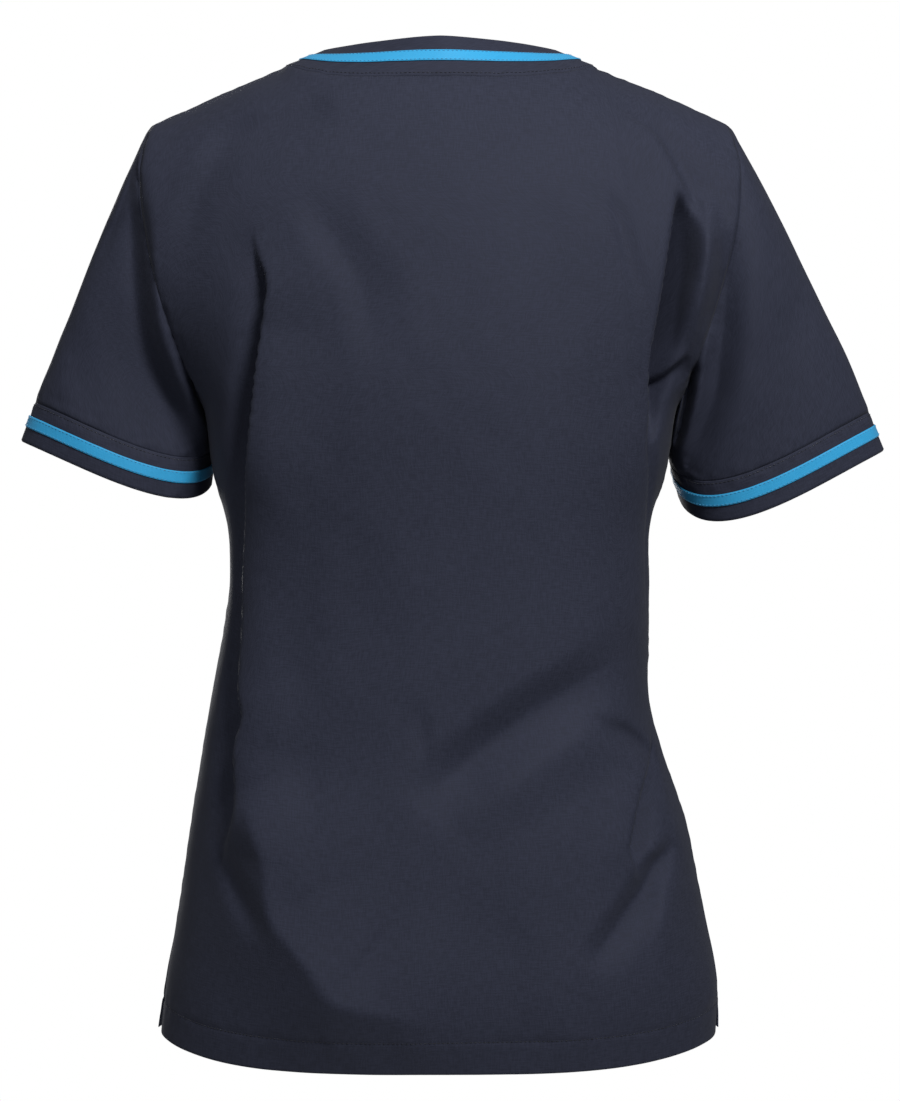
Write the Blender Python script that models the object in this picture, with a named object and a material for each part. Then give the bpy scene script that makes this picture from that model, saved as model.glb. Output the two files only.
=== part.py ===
"""Women's short-sleeved scrub top, filled out as when worn: every sewn piece is a thin closed wall of cloth.

Metres, +Z up. The wearer faces -Y, so the back is on +Y and the wearer's left is on +X.
The origin is midway between the two points where the shoulders meet the neckband.
"""
from collections import namedtuple

import bpy
import numpy as np

MM = 0.001

# Cloth
PANEL_THICK = 1.5 * MM
BAND_THICK = 2.0 * MM
TAPE_THICK = 1.0 * MM
SEAM_GAP = 0.3 * MM

# Grid steps
SHOULDER_STEPS = 8
BACK_NECK_STEPS = 28
FRONT_NECK_STEPS = 16
BODY_ROWS = 21
YOKE_ROWS = 14
SLEEVE_ROWS = 8

# Body below the armholes, in mm: half widths to the wearer's left and right, and depths behind and in front
Section = namedtuple("Section", "level left right back front")
SECTIONS = (
    Section(-676, 193, 189, 134, 131),
    Section(-627, 187, 190, 132, 129),
    Section(-572, 178, 180, 128, 126),
    Section(-517, 171, 169, 122, 121),
    Section(-462, 162, 150, 114, 117),
    Section(-434, 157, 141, 110, 115),
    Section(-393, 150, 141, 107, 115),
    Section(-351, 145, 141, 107, 119),
    Section(-310, 147, 141, 111, 128),
    Section(-290, 154, 148, 115, 132),
    Section(-265, 157, 154, 117.6, 133.8),
    Section(-240, 158, 158, 118, 134),
)
ROUNDNESS = 2.4
HEM_LEVEL = -676 * MM
HEM_SIDE_LIFT = 13 * MM
HEM_CURVE = 5.0
VENT_TOP = -585 * MM
VENT_OPEN = 3 * MM
VENT_FLARE = 3 * MM
VENT_REACH = 30 * MM

# Armhole: half width of the body at each fraction of the armhole's height, in mm
Armhole = namedtuple("Armhole", "rise x")
ARMHOLE = (
    Armhole(0.00, 158),
    Armhole(0.05, 162),
    Armhole(0.14, 171),
    Armhole(0.41, 190),
    Armhole(0.65, 201),
    Armhole(0.83, 204),
    Armhole(1.00, 199),
)
UNDERARM = -240 * MM
ARMHOLE_BACK = 61 * MM
ARMHOLE_FRONT = 54 * MM
FRONT_SCOOP = 10 * MM

# Shoulders and neckline
SHOULDER_TIP = np.array([199, -8, -40]) * MM
NECK_HALF_WIDTH = 108 * MM
NECK_SHARE = NECK_HALF_WIDTH / SHOULDER_TIP[0]
SHOULDER_CROWN = 1.5 * MM
BACK_NECK_DROP = 15 * MM
BACK_NECK_POWER = 4
FRONT_NECK_DROP = 190 * MM
FRONT_NECK_POWER = 1.12
RIDGE_RISE = 23.5 * MM
BACK_FALL = 2.4
FRONT_FALL = 1.9
FALL_TURN = 1.9
YOKE_FLAT = 0.45
YOKE_CROWDING = 0.6

# Neckband: its upper edge, and how far up its width the tape lies
BAND_BACK = np.array([0, 50, 13]) * MM
BAND_SIDE = np.array([80, -7, 12]) * MM
BAND_FRONT = np.array([0, -119, -134]) * MM
BAND_BACK_TURN = 1.6
BAND_FRONT_TURN = 2.0
BAND_TAPE = (0.38, 0.64)

# Sleeves: the bottom edge's outer and inner ends, its half depth, and how it drops and leans, in mm
Sleeve = namedtuple(
    "Sleeve", "name side outer_x outer_z inner_x inner_z depth drop forward outer_lean inner_lean")
SLEEVES = (
    Sleeve("left", 1, 292.0, -257.5, 160.0, -289.0, 58, 0.26, 30, 0.36, 0.12),
    Sleeve("right", -1, 310.0, -263.5, 166.5, -297.5, 62, 0.38, 30, 0.385, 0.25),
)
EGG = 0.5
CUFF_WIDTH = 28 * MM
CUFF_TAPE = (0.36, 0.635)
HEAD_REACH = 10 * MM
HEAD_SPREAD = 30 * MM

# Folds: height outwards, or inwards below 0, reach towards the side and the middle, crease from 0, soft,
# to 1, sharp, and the path's points as (x, z), all in mm
Fold = namedtuple("Fold", "panel height side_reach middle_reach crease path")
FOLDS = (
    Fold("back", 7, 16, 60, 0.6,
         ((122, -100), (118, -190), (128, -280), (134, -400), (138, -480), (140, -520))),
    Fold("back", -9, 16, 7, 0.3,
         ((142, -120), (140, -220), (143, -330), (146, -400), (153, -470), (156, -530))),
    Fold("back", 8, 16, 60, 0.6,
         ((-158, -95), (-150, -160), (-142, -230), (-141, -330), (-142, -440), (-136, -540))),
    Fold("back", -9, 18, 8, 0.3, ((-172, -110), (-166, -180), (-160, -225))),
    Fold("back", -9, 20, 14, 0.4, ((152, -535), (136, -570), (118, -610), (98, -640))),
    Fold("back", -9, 22, 18, 0.4, ((-154, -530), (-138, -555), (-118, -580), (-106, -610))),
    Fold("back", -6, 34, 34, 0.0, ((-112, -410), (-62, -445), (-6, -490), (12, -520))),
    Fold("back", -4, 30, 30, 0.0, ((88, -90), (50, -150), (44, -210))),
    Fold("front", 7, 14, 50, 0.6, ((128, -150), (122, -260), (128, -380), (136, -500))),
    Fold("front", -7, 16, 10, 0.3, ((144, -280), (144, -370), (152, -460), (156, -540))),
    Fold("front", 7, 14, 50, 0.6, ((-128, -150), (-122, -260), (-126, -380), (-132, -490))),
    Fold("front", -7, 16, 10, 0.3, ((-144, -280), (-142, -370), (-146, -450), (-152, -520))),
    Fold("front", -6, 34, 34, 0.0, ((100, -420), (50, -452), (0, -470), (-60, -452))),
)
SEAM_FADE = 22 * MM

# Sleeve folds: degrees round from the shoulder over the back, share of the way down, reaches and height in mm
SleeveFold = namedtuple("SleeveFold", "around along around_reach along_reach height")
SLEEVE_FOLDS = (
    SleeveFold(118, 0.20, 60, 0.30, -6),
    SleeveFold(128, 0.62, 45, 0.45, 4),
    SleeveFold(78, 0.60, 40, 0.50, -3),
    SleeveFold(242, 0.25, 60, 0.35, -5),
)

NAVY = (0.030, 0.031, 0.050)
BLUE = (0.045, 0.290, 0.560)


def curve(knots, values, at):
    """Smooth curve through a table's points."""
    knots = np.asarray(knots, float)
    values = np.asarray(values, float)
    slopes = np.gradient(values, knots)
    at = np.clip(at, knots[0], knots[-1])
    low = np.clip(np.searchsorted(knots, at) - 1, 0, len(knots) - 2)
    step = knots[low + 1] - knots[low]
    part = (at - knots[low]) / step
    rest = 1 - part
    start = rest * rest * (1 + 2 * part) * values[low] + part * rest * rest * step * slopes[low]
    end = part * part * (3 - 2 * part) * values[low + 1] - part * part * rest * step * slopes[low + 1]
    return start + end


def ease(value):
    value = np.clip(value, 0, 1)
    return value * value * (3 - 2 * value)


def unit(vectors):
    return vectors / np.maximum(np.linalg.norm(vectors, axis=-1, keepdims=True), 1e-12)


def section_size(name, level):
    levels = [row.level * MM for row in SECTIONS]
    sizes = [getattr(row, name) * MM for row in SECTIONS]
    return curve(levels, sizes, level)


def armhole_x(rise):
    return curve([row.rise for row in ARMHOLE], [row.x * MM for row in ARMHOLE], rise)


def even_across(half_width, depth, steps):
    """Shares of the half width, from 0 to 1, that lie evenly along a half section."""
    angle = np.linspace(0, np.pi / 2, 400)
    share = np.sin(angle) ** (2 / ROUNDNESS)
    reach = np.cos(angle) ** (2 / ROUNDNESS)
    run = np.hypot(np.diff(share * half_width), np.diff(reach * depth))
    run = np.concatenate([[0], np.cumsum(run)])
    return np.interp(np.linspace(0, run[-1], steps + 1), run, share)


def top_height(front, share):
    """Height of a panel's top edge at a share of the shoulder's half width."""
    part = np.clip((share - NECK_SHARE) / (1 - NECK_SHARE), 0, 1)
    shoulder = SHOULDER_TIP[2] * part + SHOULDER_CROWN * 4 * part * (1 - part)
    inside = np.clip(share / NECK_SHARE, 0, 1)
    drop, power = (FRONT_NECK_DROP, FRONT_NECK_POWER) if front else (BACK_NECK_DROP, BACK_NECK_POWER)
    return np.where(share < NECK_SHARE, -drop * (1 - inside ** power), shoulder)


def ridge_height(share):
    """Height of the shoulders' ridge, run on over the neck's opening."""
    inside = np.clip(share / NECK_SHARE, 0, 1)
    return np.where(share < NECK_SHARE, RIDGE_RISE * (1 - inside ** 2), top_height(False, share))


def yoke_point(front, share, rise):
    """Point of the smooth yoke at a share of its half width and of its column's height."""
    top = top_height(front, np.abs(share))
    height = rise * (top - UNDERARM) / (ridge_height(np.abs(share)) - UNDERARM)
    sign = -1 if front else 1
    turn = np.sin(np.arccos(np.clip(2 * height - 1, -1, 1)))
    hole = ARMHOLE_FRONT if front else ARMHOLE_BACK
    power = FRONT_FALL if front else BACK_FALL
    fall = np.maximum(1 - height ** power, 1e-9) ** (1 / FALL_TURN)
    middle = section_size("front" if front else "back", UNDERARM)
    hole_depth = hole * turn / fall
    flatness = 1 / ROUNDNESS + (1 - 1 / ROUNDNESS) * ease(height / YOKE_FLAT)
    trim = (1 - np.clip(hole_depth / middle, 0, 1) ** (1 / flatness)) ** (1 / ROUNDNESS)
    bow = np.clip(1 - (trim * np.abs(share)) ** ROUNDNESS, 0, 1) ** flatness
    wide = armhole_x(height) - (FRONT_SCOOP * turn if front else 0)
    ridge = SHOULDER_TIP[1]
    y = ridge * height + (sign * middle * bow - ridge * height) * fall
    z = UNDERARM + (top - UNDERARM) * rise
    return np.stack([share * wide, y, z], axis=-1)


def body_point(front, share, level):
    """Point of the smooth body at a signed share of its half width."""
    wide = np.where(share > 0, section_size("left", level), section_size("right", level))
    deep = section_size("front" if front else "back", level) * (-1 if front else 1)
    bow = np.clip(1 - np.abs(share) ** ROUNDNESS, 0, 1) ** (1 / ROUNDNESS)
    return np.stack([share * wide, deep * bow, level + 0 * share], axis=-1)


def row_shares(front, level):
    """Shares across one body row, from the wearer's left side seam to the right one."""
    steps = panel_steps(front) // 2
    deep = section_size("front" if front else "back", level)
    left = even_across(section_size("left", level), deep, steps)
    right = even_across(section_size("right", level), deep, steps)
    return np.concatenate([left[::-1], -right[1:]])


def top_shares(front):
    """Shares along the top edge: steps on the back neckline close up towards the neck point."""
    part = np.linspace(0, 1, (FRONT_NECK_STEPS if front else BACK_NECK_STEPS) // 2 + 1)
    inside = NECK_SHARE * (part if front else np.sin(part * np.pi / 2))
    outside = np.linspace(NECK_SHARE, 1, SHOULDER_STEPS + 1)[1:]
    half = np.concatenate([inside, outside])
    return np.concatenate([half[::-1], -half[1:]])


def panel_steps(front):
    return 2 * SHOULDER_STEPS + (FRONT_NECK_STEPS if front else BACK_NECK_STEPS)


def smooth_panel(front):
    """Grid of a panel without folds: rows from the hem to the shoulders, columns from left to right."""
    rows = []
    for step in range(BODY_ROWS):
        part = step / BODY_ROWS
        shares = row_shares(front, HEM_LEVEL + (UNDERARM - HEM_LEVEL) * part)
        hem = HEM_LEVEL + HEM_SIDE_LIFT * np.abs(shares) ** HEM_CURVE
        rows.append(body_point(front, shares, hem + (UNDERARM - hem) * part))
    low = row_shares(front, UNDERARM)
    high = top_shares(front)
    for step in range(YOKE_ROWS + 1):
        part = step / YOKE_ROWS
        rise = part + YOKE_CROWDING * ((1 - np.cos(np.pi * part)) / 2 - part)
        shares = low + (high - low) * ease(rise * 1.15)
        rows.append(yoke_point(front, shares, rise))
    grid = np.array(rows)
    return grid[:, ::-1] if front else grid


def grid_normals(grid, ring):
    """Outward normals of a grid whose columns turn to the left as seen from its outside."""
    along = np.gradient(grid, axis=0)
    if ring:
        across = (np.roll(grid, -1, axis=1) - np.roll(grid, 1, axis=1)) / 2
    else:
        across = np.gradient(grid, axis=1)
    return unit(np.cross(across, along))


def panel_depth(front, x, z):
    """Depth of a smooth panel behind or in front of a point of the outline."""
    if z <= UNDERARM:
        wide = section_size("left" if x > 0 else "right", z)
        return body_point(front, np.array(np.clip(x / wide, -1, 1)), z)[1]
    share = x / SHOULDER_TIP[0]
    for _ in range(30):
        rise = np.clip((z - UNDERARM) / (top_height(front, abs(share)) - UNDERARM), 0, 1)
        share = np.clip(x / yoke_point(front, np.array(1.0), rise)[0], -1, 1)
    return yoke_point(front, np.array(share), rise)[1]


def path_distance(points, normals, path):
    """Distance from each point to a path, and its side: 1 to the right, going down, and -1 to the left."""
    best = np.full(points.shape[:-1], np.inf)
    side = np.ones(best.shape)
    for start, end in zip(path[:-1], path[1:]):
        line = end - start
        part = np.clip(((points - start) @ line) / (line @ line), 0, 1)
        away = points - (start + part[..., None] * line)
        distance = np.linalg.norm(away, axis=-1)
        nearer = distance < best
        best = np.where(nearer, distance, best)
        turn = np.sum(np.cross(normals, line) * away, axis=-1)
        side = np.where(nearer, np.sign(turn), side)
    return best, side


def smooth_path(points, steps):
    knots = np.arange(len(points))
    at = np.linspace(0, len(points) - 1, steps)
    points = np.array(points, float)
    return np.stack([curve(knots, points[:, axis], at) for axis in range(points.shape[1])], axis=-1)


def fold_height(grid, normals, front):
    """How far each point of a panel moves along its normal."""
    height = np.zeros(grid.shape[:2])
    for fold in FOLDS:
        if (fold.panel == "front") != front:
            continue
        flat = smooth_path(fold.path, 24) * MM
        path = np.array([(x, panel_depth(front, x, z), z) for x, z in flat])
        distance, side = path_distance(grid, normals, path)
        outward = side * np.sign(path[:, 0].mean()) * (-1 if front else 1) > 0
        reach = np.where(outward, fold.side_reach, fold.middle_reach) * MM
        near = np.clip(1 - distance / reach, 0, 1)
        soft = ease(near)
        height += fold.height * MM * (soft + fold.crease * (near ** 2 - soft))
    return height


def seam_fade(grid):
    """Share, from 0 at a panel's sewn edges to 1 away from them."""
    across = np.linalg.norm(np.diff(grid, axis=1), axis=-1)
    run = np.concatenate([np.zeros((len(grid), 1)), np.cumsum(across, axis=1)], axis=1)
    edge = np.minimum(run, run[:, -1:] - run)
    along = np.linalg.norm(np.diff(grid[::-1], axis=0), axis=-1)
    drop = np.concatenate([np.zeros((1, grid.shape[1])), np.cumsum(along, axis=0)], axis=0)[::-1]
    return ease(edge / SEAM_FADE) * ease(drop / SEAM_FADE)


def folded_panel(front):
    grid = smooth_panel(front)
    normals = grid_normals(grid, False)
    height = fold_height(grid, normals, front) * seam_fade(grid)
    return open_vents(grid + normals * height[..., None], front)


def open_vents(grid, front):
    """Part the panels' side edges below the vents' tops, the front one standing further out."""
    low = ease((VENT_TOP - grid[..., 2]) / (VENT_TOP - HEM_LEVEL))
    near = ease(1 - np.abs(grid[..., 1]) / VENT_REACH) * low
    moved = grid.copy()
    moved[..., 1] += (-1 if front else 1) * VENT_OPEN / 2 * near
    if front:
        moved[..., 0] += np.sign(grid[..., 0]) * VENT_FLARE * near
    return moved


def armhole_loop(back, front, side):
    """Armhole from the shoulder tip down the back and up the front."""
    back_edge = back[BODY_ROWS:, 0 if side > 0 else -1]
    front_edge = front[BODY_ROWS:, -1 if side > 0 else 0]
    return np.concatenate([back_edge[::-1], front_edge[1:-1]])


def sleeve_frame(sleeve, count):
    """Cuff's bottom loop, and the way that the cloth runs down to it at each of its points."""
    turn = np.arange(count) / count * 2 * np.pi
    along = ((1 - np.cos(turn)) / 2)[:, None]
    outer = np.array([sleeve.outer_x, -sleeve.forward, sleeve.outer_z]) * MM
    inner = np.array([sleeve.inner_x, -sleeve.forward, sleeve.inner_z]) * MM
    fat = np.sin(turn) * (1 - EGG * np.cos(turn))
    fat = (fat / np.abs(fat).max())[:, None] * sleeve.depth * MM
    loop = outer + (inner - outer) * along + fat * np.array([0, 1, -sleeve.drop])
    lean = sleeve.outer_lean + (sleeve.inner_lean - sleeve.outer_lean) * along[:, 0]
    down = unit(np.stack([lean, -0.14 + 0 * lean, -np.sqrt(1 - lean ** 2)], axis=-1))
    mirror = np.array([sleeve.side, 1, 1])
    return loop * mirror, down * mirror, turn


def sleeve_fold_height(around, along):
    """How far each point of a sleeve moves outwards, fading out at its two seams."""
    height = 0
    for fold in SLEEVE_FOLDS:
        wide = ease(1 - np.abs(around - fold.around) / fold.around_reach)
        height = height + fold.height * MM * wide * ease(1 - np.abs(along - fold.along) / fold.along_reach)
    return height * ease(along * 6) * ease((1 - along) * 4)


def sleeve_grids(sleeve, hole):
    """Sleeve grid from the armhole down, and its cuff's grid below that."""
    bottom, down, turn = sleeve_frame(sleeve, len(hole))
    top = bottom - down * CUFF_WIDTH
    mirror = np.array([sleeve.side, 1, 1])
    spread = np.abs(np.sin(turn))
    over = np.cos(turn)
    leave = np.stack([0.75 - 0.15 * over, 0.15 * np.sin(turn), -0.61 - 0.19 * over - 0.15 * spread], axis=-1)
    leave = unit(leave)
    span = np.linalg.norm(top - hole, axis=-1)
    start_reach = np.minimum(HEAD_REACH + HEAD_SPREAD * spread, 0.4 * span)[:, None]
    end_reach = (0.35 * span)[:, None]
    first = hole + leave * mirror * start_reach
    second = top - down * end_reach
    rows = []
    for step in range(SLEEVE_ROWS + 1):
        part = step / SLEEVE_ROWS
        rest = 1 - part
        rows.append(rest ** 3 * hole + 3 * rest * rest * part * first + 3 * rest * part * part * second
                    + part ** 3 * top)
    rows = np.array(rows)
    height = sleeve_fold_height(np.degrees(turn), np.linspace(0, 1, SLEEVE_ROWS + 1)[:, None])
    rows = rows - sleeve.side * grid_normals(rows, True) * height[..., None]
    cuff = [top + down * CUFF_WIDTH * share for share in (0, *CUFF_TAPE, 1)]
    return rows, np.array(cuff)


def band_edge(front, share):
    """Upper edge of the neckband at signed shares of its half width."""
    middle = BAND_FRONT if front else BAND_BACK
    turn = np.abs(share) ** (BAND_FRONT_TURN if front else BAND_BACK_TURN)
    climb = np.abs(share) ** (FRONT_NECK_POWER if front else BACK_NECK_POWER)
    ends = middle + (BAND_SIDE - middle) * np.stack([0 * turn, turn, climb], axis=-1)
    ends[..., 0] = share * BAND_SIDE[0]
    return ends


def band_grid(back, front):
    """Neckband grid from its seam up, round from the wearer's left over the back."""
    neck = slice(SHOULDER_STEPS, -SHOULDER_STEPS - 1)
    seam = np.concatenate([back[-1, neck], front[-1, neck]])
    behind = np.sin(np.linspace(1, -1, BACK_NECK_STEPS + 1)[:-1] * np.pi / 2)
    before = np.linspace(-1, 1, FRONT_NECK_STEPS + 1)[:-1]
    edge = np.concatenate([band_edge(False, behind), band_edge(True, before)])
    return np.array([seam + (edge - seam) * share for share in (0, *BAND_TAPE, 1)])


def share_normals(pieces):
    """Average the normals of points that lie together, so that sewn edges meet on one mitre."""
    points = np.concatenate([piece["grid"].reshape(-1, 3) for piece in pieces])
    normals = np.concatenate([piece["normals"].reshape(-1, 3) for piece in pieces])
    _, place = np.unique(np.round(points / (0.05 * MM)).astype(int), axis=0, return_inverse=True)
    place = place.reshape(-1)
    total = np.zeros((place.max() + 1, 3))
    np.add.at(total, place, normals)
    normals = unit(total)[place]
    start = 0
    for piece in pieces:
        size = piece["grid"].shape[0] * piece["grid"].shape[1]
        piece["normals"] = normals[start:start + size].reshape(piece["grid"].shape)
        start += size


def draw_back(points, normals, gaps):
    """Offset of each corner of a closed edge, so that each side lies its own gap further in."""
    sides = np.roll(points, -1, axis=0) - points
    inward = unit(np.cross(normals + np.roll(normals, -1, axis=0), sides))
    before = np.roll(inward, 1, axis=0)
    gap_before = np.roll(gaps, 1)
    turn = np.sum(before * inward, axis=-1)
    bend = np.maximum(1 - turn ** 2, 0.02)
    share_before = (gap_before - turn * gaps) / bend
    share_after = (gaps - turn * gap_before) / bend
    cornered = share_before[:, None] * before + share_after[:, None] * inward
    straight = unit(before + inward) * ((gap_before + gaps) / 2)[:, None]
    return np.where((1 - turn ** 2 > 0.02)[:, None], cornered, straight)


def open_seams(grid, normals, ring, sewn):
    """Draw a grid's sewn edges back by half the seam gap."""
    rows, columns = grid.shape[:2]
    place = np.arange(rows * columns).reshape(rows, columns)
    sides = {"bottom": place[0], "last": place[:, -1], "top": place[-1, ::-1], "first": place[::-1, 0]}
    if ring:
        loops = [[("bottom", sides["bottom"])], [("top", sides["top"])]]
    else:
        loops = [[(name, sides[name][:-1]) for name in ("bottom", "last", "top", "first")]]
    points, outward = grid.reshape(-1, 3), normals.reshape(-1, 3)
    moved = points.copy()
    for loop in loops:
        index = np.concatenate([side for _, side in loop])
        halves = {name: SEAM_GAP / 2 if name in sewn else 0.0 for name, _ in loop}
        gaps = np.concatenate([np.full(len(side), halves[name]) for name, side in loop])
        moved[index] += draw_back(points[index], outward[index], gaps)
    return moved.reshape(grid.shape)


def split(points, a, b, c, d):
    """Two triangles of a four-sided face, cut along its shorter diagonal."""
    if np.linalg.norm(points[a] - points[c]) <= np.linalg.norm(points[b] - points[d]):
        return (a, b, c), (a, c, d)
    return (a, b, d), (b, c, d)


def wall_mesh(name, outer, inner, ring):
    """Closed mesh between an outer and an inner grid."""
    rows, columns = outer.shape[:2]
    count = rows * columns
    points = np.concatenate([outer.reshape(-1, 3), inner.reshape(-1, 3)])
    middle = (points[:count] + points[count:]) / 2
    wrap = columns if ring else columns - 1
    faces = []
    for row in range(rows - 1):
        for column in range(wrap):
            after = (column + 1) % columns
            a, b = row * columns + column, row * columns + after
            for one, two, three in split(middle, a, b, b + columns, a + columns):
                faces.append((one, two, three))
                faces.append((three + count, two + count, one + count))
    place = np.arange(count).reshape(rows, columns)
    if ring:
        edges = [np.append(place[0], 0), np.append(place[-1, ::-1], place[-1, -1])]
    else:
        edges = [place[0], place[:, -1], place[-1, ::-1], place[::-1, 0]]
    for edge in edges:
        for here, after in zip(edge[:-1], edge[1:]):
            faces.extend(split(points, after, here, here + count, after + count))
    mesh = bpy.data.meshes.new(name)
    mesh.from_pydata([tuple(point) for point in points], [], faces)
    mesh.update()
    return mesh


def cloth_material(name, colour):
    material = bpy.data.materials.new(name)
    material.use_nodes = True
    shader = material.node_tree.nodes["Principled BSDF"]
    shader.inputs["Base Color"].default_value = (*colour, 1)
    shader.inputs["Roughness"].default_value = 0.85
    shader.inputs["Metallic"].default_value = 0
    return material


def piece(name, grid, ring=False, sewn=(), thick=PANEL_THICK, lift=0.0, colour=NAVY):
    return {"name": name, "grid": grid, "ring": ring, "sewn": sewn, "thick": thick, "lift": lift,
            "colour": colour, "normals": grid_normals(grid, ring)}


def make_pieces():
    back, front = folded_panel(False), folded_panel(True)
    band = band_grid(back, front)
    pieces = [
        piece("back_panel", back, sewn=("top", "first", "last")),
        piece("front_panel", front, sewn=("top", "first", "last")),
        piece("neckband", band, ring=True, sewn=("bottom",), thick=BAND_THICK),
    ]
    for sleeve in SLEEVES:
        hole = armhole_loop(back, front, sleeve.side)
        upper, cuff = sleeve_grids(sleeve, hole)
        if sleeve.side > 0:
            upper, cuff = upper[:, ::-1], cuff[:, ::-1]
        pieces.append(piece("sleeve_" + sleeve.name, upper, ring=True, sewn=("bottom", "top")))
        pieces.append(piece("cuff_" + sleeve.name, cuff, ring=True, sewn=("bottom",), thick=BAND_THICK))
    share_normals(pieces)
    return pieces


def tape_of(carrier, name):
    """Tape on the middle strip of a band, lifted off its outer points."""
    tape = dict(carrier, name=name, grid=carrier["grid"][1:3], normals=carrier["normals"][1:3], sewn=(),
                thick=TAPE_THICK, lift=SEAM_GAP + TAPE_THICK, colour=BLUE)
    return tape


def build_piece(item):
    grid = open_seams(item["grid"], item["normals"], item["ring"], item["sewn"])
    outer = grid + item["normals"] * item["lift"]
    inner = outer - item["normals"] * item["thick"]
    mesh = wall_mesh(item["name"], outer, inner, item["ring"])
    for face in mesh.polygons:
        face.use_smooth = True
    mesh.materials.append(cloth_material(item["name"], item["colour"]))
    made = bpy.data.objects.new(item["name"], mesh)
    bpy.context.scene.collection.objects.link(made)
    return made


def main():
    for thing in list(bpy.data.objects):
        bpy.data.objects.remove(thing)
    pieces = make_pieces()
    tapes = [tape_of(item, item["name"].replace("cuff_", "cuff_tape_").replace("neckband", "neck_tape"))
             for item in pieces if item["name"].startswith(("cuff_", "neckband"))]
    for item in pieces + tapes:
        build_piece(item)


main()
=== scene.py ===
"""Looks of the scrub top: cloth with its creases, seams, stitches, weave, light and camera.

Metres, +Z up. The wearer faces -Y, so the back is on +Y and the wearer's left is on +X.
"""
from collections import namedtuple

import bpy
import numpy as np
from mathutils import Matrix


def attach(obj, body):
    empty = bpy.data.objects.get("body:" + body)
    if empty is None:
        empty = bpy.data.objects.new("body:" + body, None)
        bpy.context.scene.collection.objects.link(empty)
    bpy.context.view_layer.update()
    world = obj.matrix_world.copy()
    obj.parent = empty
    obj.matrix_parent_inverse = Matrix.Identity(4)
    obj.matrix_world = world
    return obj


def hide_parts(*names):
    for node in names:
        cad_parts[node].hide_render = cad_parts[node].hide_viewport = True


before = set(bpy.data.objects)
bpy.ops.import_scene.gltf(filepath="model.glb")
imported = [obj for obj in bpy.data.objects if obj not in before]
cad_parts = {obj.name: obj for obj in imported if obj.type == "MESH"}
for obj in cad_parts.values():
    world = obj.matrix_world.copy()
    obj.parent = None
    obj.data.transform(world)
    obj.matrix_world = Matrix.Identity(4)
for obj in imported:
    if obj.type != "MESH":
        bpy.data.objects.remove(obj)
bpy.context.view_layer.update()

MM = 0.001

# Cloth
PANEL_THICK = 0.9 * MM
BAND_THICK = 1.7 * MM
TAPE_THICK = 0.6 * MM
TAPE_LIFT = 0.15 * MM

# Grid steps
SHOULDER_STEPS = 32
BACK_NECK_STEPS = 112
FRONT_NECK_STEPS = 92
BODY_STEP = 2.9 * MM
RING_STEP = 2.5 * MM
TOGETHER = 0.02 * MM
YOKE_ROWS = 82
SLEEVE_ROWS = 78
HEM_ROWS = (0, 1.5, 4, 8, 12, 16, 19, 20.3, 21.3, 22.3, 24, 26.5)

# Body below the armholes, in mm: half widths to the wearer's left and right, and depths behind and in front
Section = namedtuple("Section", "level left right back front")
SECTIONS = (
    Section(-676, 193, 189, 134, 131),
    Section(-627, 187, 190, 132, 129),
    Section(-572, 178, 180, 128, 126),
    Section(-517, 171, 169, 122, 121),
    Section(-462, 162, 150, 114, 117),
    Section(-434, 157, 144, 113, 115),
    Section(-393, 150, 144, 112, 115),
    Section(-351, 145, 144, 112, 119),
    Section(-310, 147, 145, 113.5, 128),
    Section(-290, 154, 153, 115.5, 132),
    Section(-265, 159, 159, 117.6, 133.8),
    Section(-240, 161, 161, 118, 134),
)
ROUNDNESS = 2.4
HEM_LEVEL = -676 * MM
HEM_SIDE_LIFT = 13 * MM
HEM_CURVE = 5.0
HEM_DEEP = 21.3 * MM
VENT_TOP = -585 * MM
VENT_OPEN = 3 * MM
VENT_FLARE = 3 * MM
VENT_REACH = 30 * MM
VENT_FADE = 20 * MM

# Armhole: half width of the body at each fraction of the armhole's height, in mm
Armhole = namedtuple("Armhole", "rise x")
ARMHOLE = (
    Armhole(0.00, 161),
    Armhole(0.05, 165),
    Armhole(0.14, 172),
    Armhole(0.41, 190),
    Armhole(0.65, 201),
    Armhole(0.83, 204),
    Armhole(1.00, 199),
)
UNDERARM = -240 * MM
ARMHOLE_BACK = 61 * MM
ARMHOLE_FRONT = 54 * MM
FRONT_SCOOP = 10 * MM

# Shoulders and neckline
SHOULDER_TIP = np.array([199, -8, -40]) * MM
NECK_HALF_WIDTH = 108 * MM
NECK_SHARE = NECK_HALF_WIDTH / SHOULDER_TIP[0]
SHOULDER_CROWN = 1.5 * MM
BACK_NECK_DROP = 15 * MM
BACK_NECK_POWER = 4
FRONT_NECK_DROP = 190 * MM
FRONT_NECK_POWER = 1.12
RIDGE_RISE = 23.5 * MM
BACK_FALL = 2.4
FRONT_FALL = 1.9
FALL_TURN = 1.9
YOKE_FLAT = 0.45
YOKE_CROWDING = 0.6
SOFT_REACH = 26 * MM
SOFT_HEM = 30 * MM
SOFT_HEM_REACH = 40 * MM
SOFT_PASSES = 60

# Neckband: its upper edge, its rows, and how far up its width the tape lies
BAND_BACK = np.array([0, 50, 13]) * MM
BAND_SIDE = np.array([80, -7, 12]) * MM
BAND_FRONT = np.array([0, -119, -134]) * MM
BAND_BACK_TURN = 1.6
BAND_FRONT_TURN = 2.0
BAND_TAPE = (0.38, 0.64)
BAND_ROWS = (0, 0.03, 0.07, 0.13, 0.22, 0.31, 0.36, 0.38, 0.42, 0.51, 0.6, 0.64, 0.66, 0.72, 0.84, 0.94, 1)

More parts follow.
